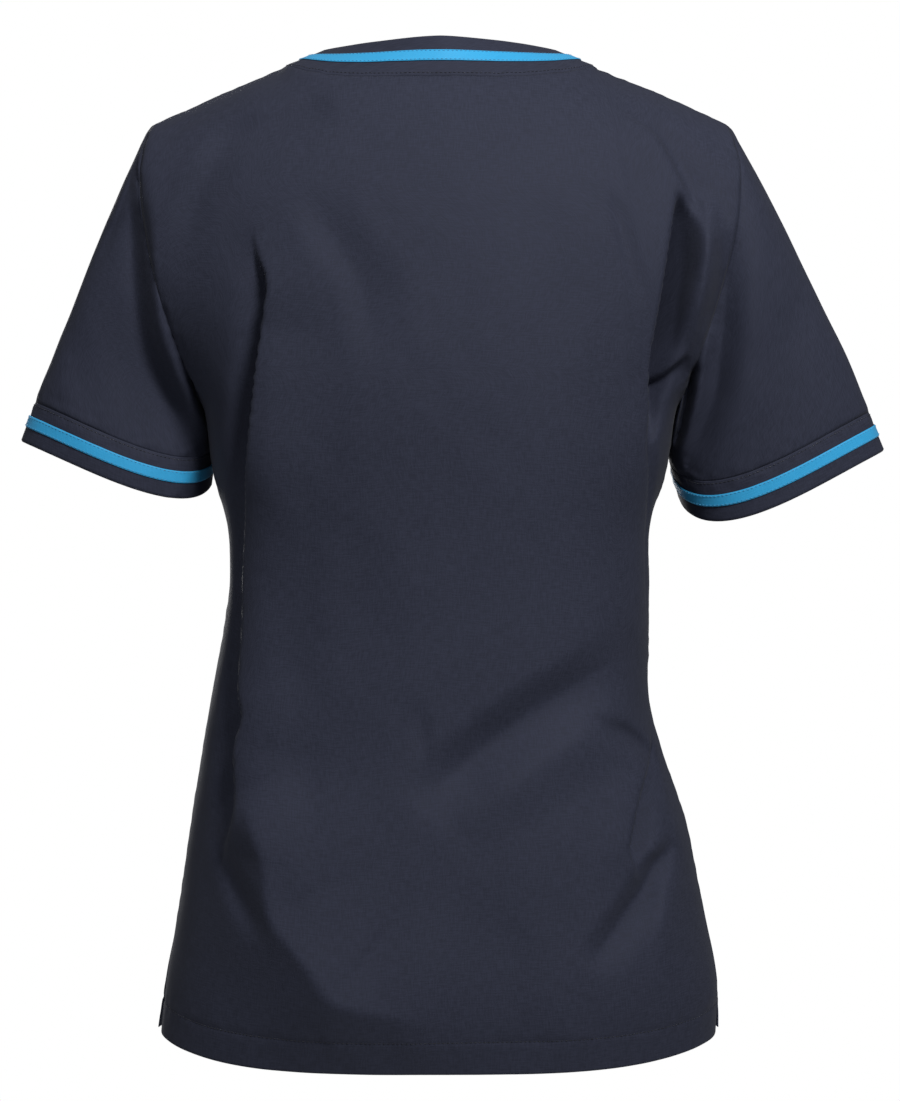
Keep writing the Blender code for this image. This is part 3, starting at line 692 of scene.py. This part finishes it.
def crease_pieces(pieces):
    """Move each cloth point by its creases, and along its normal by its seam's well, puckers and ripples."""
    carriers = {piece["name"]: piece for piece in pieces}
    ready = []
    for (name, view), creases in CREASES.items():
        ready += [(crease, view, *crease_path(crease, view, carriers[name])) for crease in creases]
    for piece in pieces:
        points, normals = piece["grid"].reshape(-1, 3), piece["normals"].reshape(-1, 3)
        height, moved = np.zeros(len(points)), points.copy()
        for crease in ready:
            moved += crease_move(points, normals, *crease)
        seam = seam_distance(piece).reshape(-1)
        soft = 1.0
        if piece["name"] == "neckband" or piece["name"].startswith("cuff"):
            soft = 0.35 + 0.65 * np.exp(-(seam / BAND_SOFT_REACH) ** 2)
        height -= SEAM_WELL * soft * np.exp(-(seam / SEAM_WIDE) ** 2)
        height += PUCKER_HIGH * waves(points, PUCKER_LONG, 5) * np.exp(-(seam / PUCKER_REACH) ** 2)
        uneven = UNEVEN_HIGH * waves(points, UNEVEN_LONG, 11)
        height += uneven + RIPPLE_HIGH * waves(points, RIPPLE_LONG, 23) * soft
        if piece["name"].endswith("panel"):
            rise = running_length(piece["grid"], 0).reshape(-1)
            hem = np.abs(rise - HEM_DEEP)
            height -= HEM_WELL * np.exp(-(hem / HEM_WELL_WIDE) ** 2)
            height += PUCKER_HIGH * waves(points, PUCKER_LONG, 7) * np.exp(-(hem / HEM_PUCKER_REACH) ** 2)
            height -= HEM_CURL * np.clip(1 - rise / HEM_CURL_REACH, 0, 1) ** 2 * normals[:, 1] ** 2
        piece["moved"] = (moved + normals * height[:, None]).reshape(piece["grid"].shape)
    for piece in pieces:
        piece["grid"] = piece.pop("moved")
        piece["normals"] = grid_normals(piece["grid"], piece["ring"])
    share_normals(pieces)


# ---- Meshes ----

def rim_points(outer, inner, ring, thick, sewn):
    """Middle line of each edge between the outer and inner grids, rounded outwards where it is not sewn."""
    middle = (outer + inner) / 2
    loops = [("bottom", middle[0], middle[1]), ("top", middle[-1], middle[-2])]
    rims = {}
    for name, edge, inside in loops:
        out = 0 if name in sewn else 0.5 * thick
        rims[name] = edge + unit(edge - inside) * out
    if not ring:
        out = 0 if "sides" in sewn else 0.5 * thick
        rims["first"] = middle[:, 0] + unit(middle[:, 0] - middle[:, 1]) * out
        rims["last"] = middle[:, -1] + unit(middle[:, -1] - middle[:, -2]) * out
        for name, corner in (("first", 0), ("last", -1)):
            rims[name][0] = rims["bottom"][corner]
            rims[name][-1] = rims["top"][corner]
    return rims


def add_object(name, data):
    made = bpy.data.objects.new(name, data)
    bpy.context.scene.collection.objects.link(made)
    return made


def smooth_object(name, points, faces, corners=None):
    """Smooth mesh, with its weave laid out where its faces' corners are given."""
    mesh = bpy.data.meshes.new(name)
    mesh.from_pydata(points, [], faces)
    if corners is not None:
        layer = mesh.uv_layers.new(name="weave")
        layer.data.foreach_set("uv", corners.reshape(-1).astype(np.float32))
    mesh.polygons.foreach_set("use_smooth", [True] * len(mesh.polygons))
    mesh.update()
    return add_object(name, mesh)


def wall_object(name, outer, inner, ring, thick, sewn):
    """Closed wall between an outer and an inner grid, with rounded rims and its weave laid out in metres."""
    rows, columns = outer.shape[:2]
    count = rows * columns
    rims = rim_points(outer, inner, ring, thick, sewn)
    points = [outer.reshape(-1, 3), inner.reshape(-1, 3)]
    place = np.arange(count).reshape(rows, columns)
    across, along = running_length(outer, 1), running_length(outer, 0)
    middle_run = across - (across[:, -1:] / 2 if not ring else 0)
    if ring:
        after = np.roll(np.arange(columns), -1)
        ahead = np.concatenate([middle_run[:, 1:], middle_run[:, -1:] + RING_STEP], axis=1)
        here = slice(None)
    else:
        after = np.arange(1, columns)
        ahead = middle_run[:, 1:]
        here = slice(0, columns - 1)
    quad = np.stack([place[:-1, here], place[:-1][:, after], place[1:][:, after], place[1:, here]], axis=-1)
    u = np.stack([middle_run[:-1, here], ahead[:-1], ahead[1:], middle_run[1:, here]], axis=-1)
    v = np.stack([along[:-1, here], along[:-1][:, after], along[1:][:, after], along[1:, here]], axis=-1)
    quad, uv = quad.reshape(-1, 4), np.stack([u, v], axis=-1).reshape(-1, 4, 2)
    faces = [quad, quad[:, ::-1] + count]
    corners = [uv, uv[:, ::-1]]
    edges = [("bottom", place[0]), ("top", place[-1, ::-1])]
    if not ring:
        edges += [("last", place[:, -1]), ("first", place[::-1, 0])]
    flat_u, flat_v = middle_run.reshape(-1), along.reshape(-1)
    size = 2 * count
    corner_rim = {}
    for edge_name, edge in edges:
        rim = rims[edge_name]
        if edge_name in ("top", "first"):
            rim = rim[::-1]
        number = np.arange(size, size + len(edge))
        points.append(rim)
        size += len(edge)
        if not ring:
            for end in (0, -1):
                key = int(edge[end])
                number[end] = corner_rim.setdefault(key, int(number[end]))
        pair = np.stack([edge, np.roll(edge, -1)], axis=-1)
        rim_pair = np.stack([number, np.roll(number, -1)], axis=-1)
        if not ring:
            pair, rim_pair = pair[:-1], rim_pair[:-1]
        upper = np.stack([pair[:, 1], pair[:, 0], rim_pair[:, 0], rim_pair[:, 1]], axis=-1)
        lower = np.stack([rim_pair[:, 1], rim_pair[:, 0], pair[:, 0] + count, pair[:, 1] + count], axis=-1)
        pair_uv = np.stack([flat_u[pair], flat_v[pair]], axis=-1)
        pair_uv = np.stack([pair_uv[:, 1], pair_uv[:, 0], pair_uv[:, 0], pair_uv[:, 1]], axis=1)
        faces += [upper, lower]
        corners += [pair_uv, pair_uv]
    points, faces = np.concatenate(points), np.concatenate(faces)
    used = np.unique(faces)
    renumber = np.zeros(len(points), int)
    renumber[used] = np.arange(len(used))
    return smooth_object(name, points[used].tolist(), renumber[faces].tolist(), np.concatenate(corners))


def stitch_object(name, lines):
    """Row of small raised stitches along each line, given as its points and normals."""
    points, faces = [], []
    for line, normals in lines:
        run = np.concatenate([[0], np.cumsum(np.linalg.norm(np.diff(line, axis=0), axis=-1))])
        starts = np.arange(0.5 * STITCH_PITCH, run[-1] - STITCH_PITCH, STITCH_PITCH)
        for start in starts:
            at = start + np.array([0, 0.5, 1]) * STITCH_LONG
            centre = np.stack([np.interp(at, run, line[:, axis]) for axis in range(3)], axis=-1)
            up = unit(np.stack([np.interp(at, run, normals[:, axis]) for axis in range(3)], axis=-1))
            ahead = unit(centre[2] - centre[0])
            aside = unit(np.cross(up, ahead))
            first = len(points)
            for place, wide, high in ((0, 0.55, -0.5), (1, 1, 1), (2, 0.55, -0.5)):
                middle = centre[place] + up[place] * STITCH_HIGH * high
                half = STITCH_WIDE / 2 * wide
                points += [middle - aside[place] * half - up[place] * half * 0.4, middle + up[place] * half,
                           middle + aside[place] * half - up[place] * half * 0.4]
            for ring in (0, 3):
                for corner in range(3):
                    after = (corner + 1) % 3
                    faces.append((first + ring + corner, first + ring + after,
                                  first + ring + 3 + after, first + ring + 3 + corner))
            faces.append((first + 2, first + 1, first, first))
            faces.append((first + 6, first + 7, first + 8, first + 8))
    faces = [face if face[2] != face[3] else face[:3] for face in faces]
    return smooth_object(name, [tuple(point) for point in points], faces)


# ---- Materials ----

class Nodes:
    """Short way to add and link shader nodes."""

    def __init__(self, material):
        material.use_nodes = True
        self.material = material
        self.tree = material.node_tree
        self.shader = self.tree.nodes["Principled BSDF"]

    def add(self, kind, **settings):
        node = self.tree.nodes.new(kind)
        for key, value in settings.items():
            setattr(node, key, value)
        return node

    def put(self, socket, value):
        if isinstance(value, bpy.types.NodeSocket):
            self.tree.links.new(value, socket)
        else:
            socket.default_value = value

    def math(self, operation, first, second=0.0):
        node = self.add("ShaderNodeMath", operation=operation)
        self.put(node.inputs[0], first)
        self.put(node.inputs[1], second)
        return node.outputs[0]

    def noise(self, vector, scale, detail):
        node = self.add("ShaderNodeTexNoise")
        self.put(node.inputs["Vector"], vector)
        node.inputs["Scale"].default_value = scale
        node.inputs["Detail"].default_value = detail
        return node.outputs["Fac"]

    def mapped(self, vector, scale):
        node = self.add("ShaderNodeMapping")
        self.put(node.inputs["Vector"], vector)
        node.inputs["Scale"].default_value = scale
        return node.outputs["Vector"]

    def mix(self, amount, first, second):
        node = self.add("ShaderNodeMix", data_type="RGBA")
        self.put(node.inputs[0], amount)
        self.put(node.inputs[6], first)
        self.put(node.inputs[7], second)
        return node.outputs[2]


def woven_material(name, dark, light, thread, bump, sheen, rough, streak):
    """Plain weave: threads over and under each other, some thicker, and slightly uneven dye."""
    nodes = Nodes(bpy.data.materials.new(name))
    uv = nodes.add("ShaderNodeTexCoord").outputs["UV"]
    split_uv = nodes.add("ShaderNodeSeparateXYZ")
    nodes.put(split_uv.inputs[0], uv)
    turn = np.pi / (thread * MM)
    warp = nodes.math("SINE", nodes.math("MULTIPLY", split_uv.outputs[0], turn))
    weft = nodes.math("SINE", nodes.math("MULTIPLY", split_uv.outputs[1], turn))
    weave = nodes.math("MULTIPLY", warp, weft)
    slub_across = nodes.noise(nodes.mapped(uv, (130, 1150, 1)), 1.0, 2)
    slub_along = nodes.noise(nodes.mapped(uv, (1150, 130, 1)), 1.0, 2)
    slub = nodes.math("ADD", slub_across, slub_along)
    cloud = nodes.noise(uv, 14.0, 3)
    tone = nodes.math("MULTIPLY_ADD", nodes.math("SUBTRACT", slub, 1.0), streak)
    tone.node.inputs[2].default_value = 0.5
    tone = nodes.math("ADD", tone, nodes.math("MULTIPLY", nodes.math("SUBTRACT", cloud, 0.5), 0.5))
    tone = nodes.math("ADD", tone, nodes.math("MULTIPLY", weave, 0.03))
    shader = nodes.shader
    nodes.put(shader.inputs["Base Color"], nodes.mix(tone, (*dark, 1), (*light, 1)))
    shade = nodes.math("MULTIPLY_ADD", nodes.math("SUBTRACT", slub, 1.0), 0.25)
    shade.node.inputs[2].default_value = rough
    nodes.put(shader.inputs["Roughness"], shade)
    for socket, value in (("Specular IOR Level", 0.22), ("Sheen Weight", sheen), ("Sheen Roughness", 0.45)):
        shader.inputs[socket].default_value = value
    height = nodes.math("ADD", nodes.math("MULTIPLY", weave, 0.15), nodes.math("MULTIPLY", slub, 0.9))
    node = nodes.add("ShaderNodeBump")
    node.inputs["Strength"].default_value = bump
    node.inputs["Distance"].default_value = 0.12 * MM
    nodes.put(node.inputs["Height"], height)
    nodes.put(shader.inputs["Normal"], node.outputs["Normal"])
    return nodes.material


def thread_material(name, colour):
    """Plain twisted thread of one colour."""
    nodes = Nodes(bpy.data.materials.new(name))
    place = nodes.add("ShaderNodeTexCoord").outputs["Object"]
    twist = nodes.noise(place, 2500.0, 1)
    light = tuple(min(1, part * 1.35) for part in colour)
    nodes.put(nodes.shader.inputs["Base Color"], nodes.mix(twist, (*colour, 1), (*light, 1)))
    nodes.shader.inputs["Roughness"].default_value = 0.55
    nodes.shader.inputs["Sheen Weight"].default_value = 0.15
    return nodes.material


# ---- Making the garment ----

def piece(name, grid, ring=False, sewn=(), thick=PANEL_THICK):
    return {"name": name, "grid": grid, "ring": ring, "sewn": sewn, "thick": thick,
            "normals": grid_normals(grid, ring)}


def make_pieces():
    """Every cloth piece, sewn together and creased."""
    back = open_vents(soften(smooth_panel(False)), False)
    front = open_vents(soften(smooth_panel(True)), True)
    pieces = [
        piece("back_panel", back, sewn=("top", "sides")),
        piece("front_panel", front, sewn=("top", "sides")),
        piece("neckband", band_grid(back, front), ring=True, sewn=("bottom",), thick=BAND_THICK),
    ]
    for sleeve in SLEEVES:
        hole = armhole_loop(back, front, sleeve.side)
        upper, cuff = sleeve_grids(sleeve, hole)
        if sleeve.side > 0:
            upper, cuff = upper[:, ::-1], cuff[:, ::-1]
        pieces.append(piece("sleeve_" + sleeve.name, upper, ring=True, sewn=("bottom", "top")))
        pieces.append(piece("cuff_" + sleeve.name, cuff, ring=True, sewn=("bottom",), thick=BAND_THICK))
    share_normals(pieces)
    crease_pieces(pieces)
    return pieces


def tape_rows(piece):
    """First row of the band under its tape, and the row after the last."""
    rows, strip = (BAND_ROWS, BAND_TAPE) if piece["name"] == "neckband" else (CUFF_ROWS, CUFF_TAPE)
    return rows.index(strip[0]), rows.index(strip[1]) + 1


def tape_piece(carrier, name):
    """Tape that takes its rows from the band's."""
    first, last = tape_rows(carrier)
    return dict(carrier, name=name, grid=carrier["grid"][first:last], normals=carrier["normals"][first:last],
                sewn=(), thick=TAPE_THICK, lift=TAPE_LIFT + TAPE_THICK)


def ride(made, material):
    """Fix a piece to the garment, and give it its material and slot."""
    made.data.materials.append(material)
    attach(made, "root")
    return made


def build(item, material):
    """Make a piece's wall from its outer face."""
    outer = item["grid"] + item["normals"] * item.get("lift", 0)
    inner = outer - item["normals"] * item["thick"]
    made = wall_object(item["name"] + "_cloth", outer, inner, item["ring"], item["thick"], item["sewn"])
    return ride(made, material)


def row_line(piece, row, lift=0.0, cut=0):
    """One row of a piece as a line lying on its outer face."""
    line, normals = piece["grid"][row], piece["normals"][row]
    if piece["ring"]:
        line, normals = np.concatenate([line, line[:1]]), np.concatenate([normals, normals[:1]])
    if cut:
        line, normals = line[cut:-cut], normals[cut:-cut]
    return line + normals * lift, normals


def stitches(name, lines, material):
    return ride(stitch_object(name, lines), material)


pieces = {item["name"]: item for item in make_pieces()}
navy = woven_material("navy_weave", (0.0225, 0.0255, 0.0440), (0.0335, 0.0375, 0.0630),
                      thread=0.42, bump=0.5, sheen=0.03, rough=0.80, streak=2.2)
blue = woven_material("blue_ribbon", (0.030, 0.350, 0.680), (0.050, 0.450, 0.820),
                      thread=0.55, bump=0.6, sheen=0.10, rough=0.55, streak=0.5)
# Navy thread for the hem and seam stitches: real navy thread, darkened below the cloth's navy as painted
# shade where the stitches lie in shadow
navy_thread = thread_material("navy_thread", (0.008, 0.009, 0.016))
blue_thread = thread_material("blue_thread", (0.075, 0.360, 0.600))

for name, item in pieces.items():
    build(item, navy)
    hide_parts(name)
tapes = {"neckband": "neck_tape", "cuff_left": "cuff_tape_left", "cuff_right": "cuff_tape_right"}
for carrier, name in tapes.items():
    build(tape_piece(pieces[carrier], name), blue)
    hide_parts(name)

for name in ("back_panel", "front_panel"):
    line = row_line(pieces[name], HEM_STITCH_ROW, STITCH_LIFT, cut=2)
    stitches("hem_stitches_" + name.split("_")[0], [line], navy_thread)
for name, tape in tapes.items():
    line = row_line(pieces[name], SEAM_STITCH_ROW, STITCH_LIFT)
    stitches("seam_stitches_" + name, [line], navy_thread)
    first, last = tape_rows(pieces[name])
    lift = TAPE_LIFT + TAPE_THICK + TAPE_STITCH_LIFT
    edges = []
    for edge, inner in ((first, first + 1), (last - 1, last - 2)):
        line, normals = row_line(pieces[name], edge, lift)
        inside, _ = row_line(pieces[name], inner, lift)
        edges.append((line + unit(inside - line) * TAPE_STITCH_INSET, normals))
    stitches("edge_stitches_" + tape, edges, blue_thread)

# Record for a sheet's flat cut, in metres, and the area of that cut where it is not a rectangle; no cut is
# listed here
Cut = namedtuple("Cut", "piece width length area held rests_on")

# ---- Floor, light and camera ----

FLOOR_LEVEL = -1.42
FLOOR_REACH = 4.1
FLOOR_FADE = (0.25, 1.6)
LIT_POINT = (0, 0, -0.35)
AMBIENT = 0.15
LENS = 106.6


def make_floor():
    """Pale floor that fades out round the garment."""
    mesh = bpy.data.meshes.new("floor")
    corners = [(-1, -1), (1, -1), (1, 1), (-1, 1)]
    points = [(x * FLOOR_REACH, y * FLOOR_REACH, FLOOR_LEVEL) for x, y in corners]
    mesh.from_pydata(points, [], [(0, 1, 2, 3)])
    floor = add_object("floor", mesh)
    nodes = Nodes(bpy.data.materials.new("pale_floor"))
    place = nodes.add("ShaderNodeTexCoord").outputs["Object"]
    cloud = nodes.noise(place, 1.5, 2)
    nodes.put(nodes.shader.inputs["Base Color"], nodes.mix(cloud, (0.86, 0.86, 0.86, 1), (0.9, 0.9, 0.9, 1)))
    nodes.shader.inputs["Roughness"].default_value = 0.9
    level_place = nodes.mapped(place, (1, 1, 0))
    away = nodes.add("ShaderNodeVectorMath", operation="LENGTH")
    nodes.put(away.inputs[0], level_place)
    fade = nodes.add("ShaderNodeMapRange", interpolation_type="SMOOTHSTEP")
    nodes.put(fade.inputs["Value"], away.outputs["Value"])
    for socket, value in zip(("From Min", "From Max", "To Min", "To Max"), (*FLOOR_FADE, 1, 0)):
        fade.inputs[socket].default_value = value
    nodes.put(nodes.shader.inputs["Alpha"], fade.outputs["Result"])
    mesh.materials.append(nodes.material)


def area_light(name, place, size, power):
    """Round soft light that shines at the garment."""
    data = bpy.data.lights.new(name, "AREA")
    data.shape = "DISK"
    data.size = size
    data.energy = power
    light = add_object(name, data)
    light.location = place
    way = np.array(LIT_POINT) - np.array(place)
    tilt = np.arctan2(np.hypot(way[0], way[1]), -way[2])
    light.rotation_euler = (tilt, 0, np.arctan2(way[0], -way[1]) + np.pi)


def make_world():
    """White for the camera, and a weak even light for everything else."""
    world = bpy.data.worlds.new("studio")
    bpy.context.scene.world = world
    world.use_nodes = True
    tree = world.node_tree
    shade = tree.nodes["Background"]
    shade.inputs["Color"].default_value = (0.96, 0.98, 1, 1)
    shade.inputs["Strength"].default_value = AMBIENT
    white = tree.nodes.new("ShaderNodeBackground")
    white.inputs["Color"].default_value = (1, 1, 1, 1)
    white.inputs["Strength"].default_value = 1.0
    ray = tree.nodes.new("ShaderNodeLightPath")
    both = tree.nodes.new("ShaderNodeMixShader")
    tree.links.new(ray.outputs["Is Camera Ray"], both.inputs[0])
    tree.links.new(shade.outputs[0], both.inputs[1])
    tree.links.new(white.outputs[0], both.inputs[2])
    tree.links.new(both.outputs[0], tree.nodes["World Output"].inputs["Surface"])


def make_camera():
    """Camera behind the garment, level with its middle."""
    data = bpy.data.cameras.new("camera")
    data.sensor_width = 36
    data.lens = LENS
    camera = add_object("camera", data)
    camera.location = EYE
    camera.rotation_euler = (np.pi / 2, 0, np.pi)
    bpy.context.scene.camera = camera


make_floor()
make_world()
area_light("key", (-0.80, 1.75, 1.20), size=0.7, power=47)
area_light("left_fill", (1.10, 1.30, 2.30), size=1.2, power=14)
area_light("front_key", (0.7, -2.45, 0.10), size=1.2, power=32)
make_camera()
bpy.context.scene.view_settings.view_transform = "Standard"
